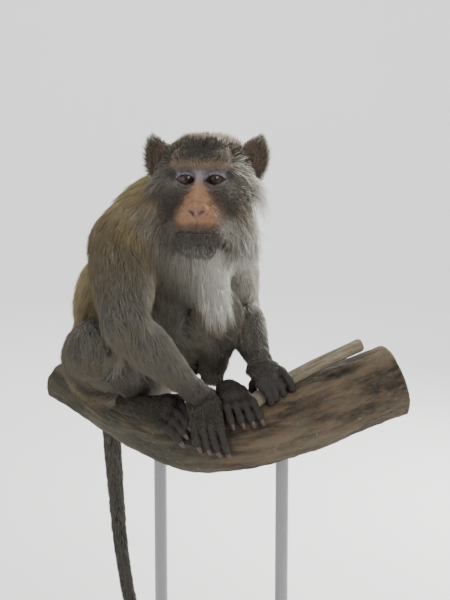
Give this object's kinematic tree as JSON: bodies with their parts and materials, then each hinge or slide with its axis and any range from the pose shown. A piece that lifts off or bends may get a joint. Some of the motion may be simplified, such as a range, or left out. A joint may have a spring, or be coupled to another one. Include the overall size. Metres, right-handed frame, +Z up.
{
  "type": "display model of a long-tailed macaque",
  "caption": "Life-size long-tailed macaque sitting hunched on a cut length of root, a twig in one hand, on a plain display stand.",
  "frame": {"origin": "centre of the underside of the stand's base board", "axes": "+Z up, -Y the way the face looks, +X to the animal's left"},
  "size_m": [0.4426, 0.3182, 0.7255],
  "materials": {
    "brown_fur": "olive-brown fur",
    "pale_fur": "pale grey fur",
    "grey_fur": "grey-brown fur",
    "dark_skin": "dark bare skin",
    "ear_skin": "dark brown skin",
    "eye": "wet brown",
    "root_bark": "weathered bark",
    "twig_bark": "grey bark",
    "base_board": "satin dark paint",
    "rod_steel": "brushed"
  },
  "bodies": {
    "root": {"head": "brown_fur", "neck": "brown_fur", "loin": "brown_fur", "upper_arm_right": "brown_fur", "upper_arm_left": "brown_fur", "thigh_right": "brown_fur", "thigh_left": "brown_fur", "chest": "pale_fur", "forearm_right": "grey_fur", "forearm_left": "grey_fur", "shin_right": "grey_fur", "shin_left": "grey_fur", "tail_base": "grey_fur", "tail_middle": "grey_fur", "tail_tip": "grey_fur", "hand_right": "dark_skin", "hand_left": "dark_skin", "foot_right": "dark_skin", "foot_left": "dark_skin", "ear_right": "ear_skin", "ear_left": "ear_skin", "eye_right": "eye", "eye_left": "eye", "perch": "root_bark", "perch_twig": "twig_bark", "stand_base": "base_board", "stand_rod_left": "rod_steel", "stand_rod_right": "rod_steel"}
  },
  "joints": []
}
